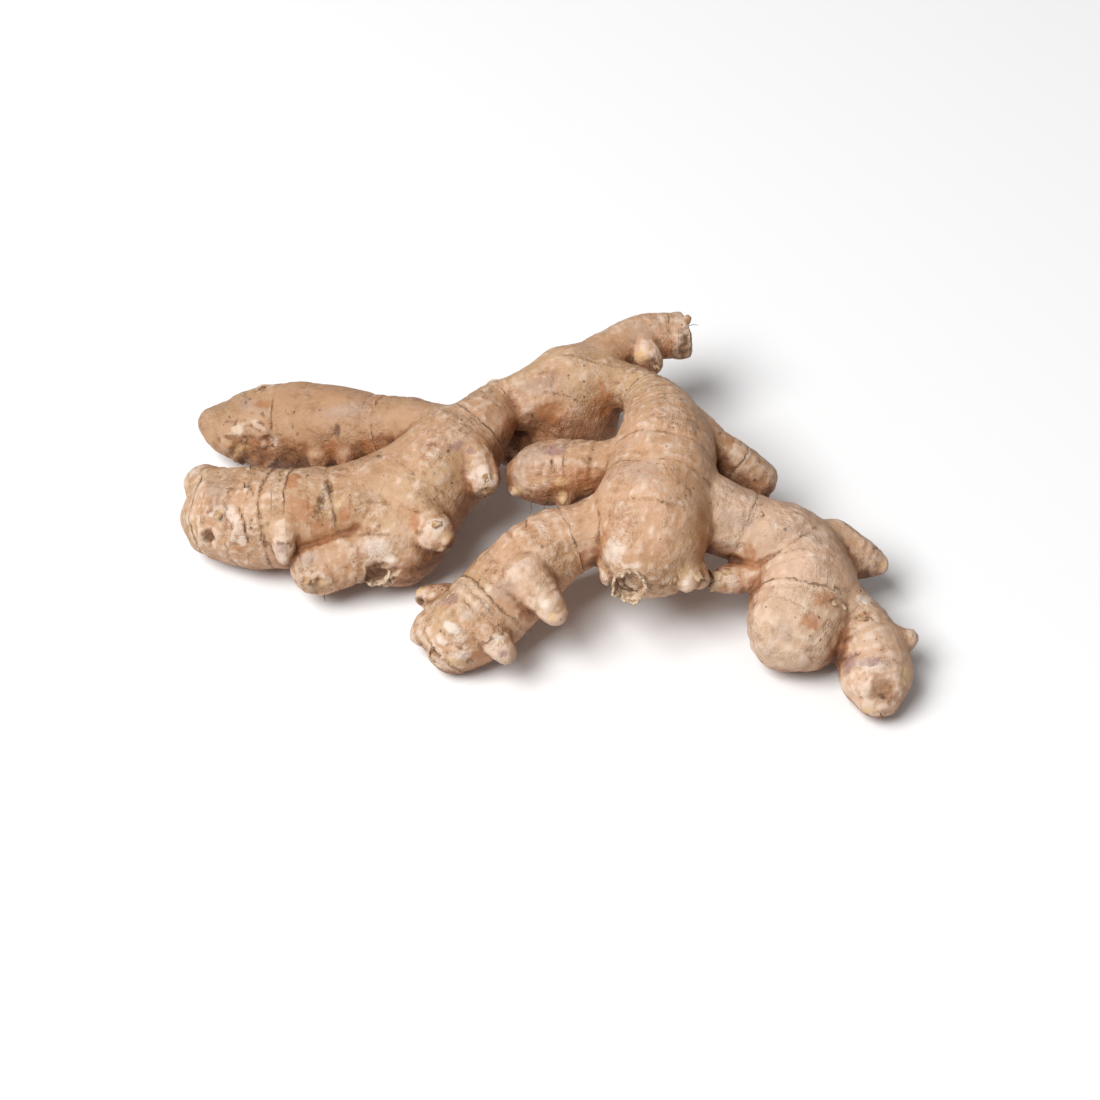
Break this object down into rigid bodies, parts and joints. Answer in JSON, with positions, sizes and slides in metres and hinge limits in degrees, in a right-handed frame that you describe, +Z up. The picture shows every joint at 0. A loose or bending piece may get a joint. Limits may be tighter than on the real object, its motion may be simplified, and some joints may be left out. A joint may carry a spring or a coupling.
{
  "type": "ginger root",
  "caption": "Branching fresh ginger rhizome with knobbly fingers, ringed skin, buds, stem scars and one broken end, lying on a flat surface.",
  "frame": {"origin": "on the resting surface, under the middle of the root's bounding box", "axes": "+Z up, +X along the root's length towards its curled end finger, +Y towards the broken stump"},
  "size_m": [0.2012, 0.1251, 0.0488],
  "materials": {
    "ginger_skin": "matt papery skin, beige-tan, with darker rings, pale scuffed patches and brown scars"
  },
  "bodies": {
    "root": {"rhizome": "ginger_skin"}
  },
  "joints": []
}
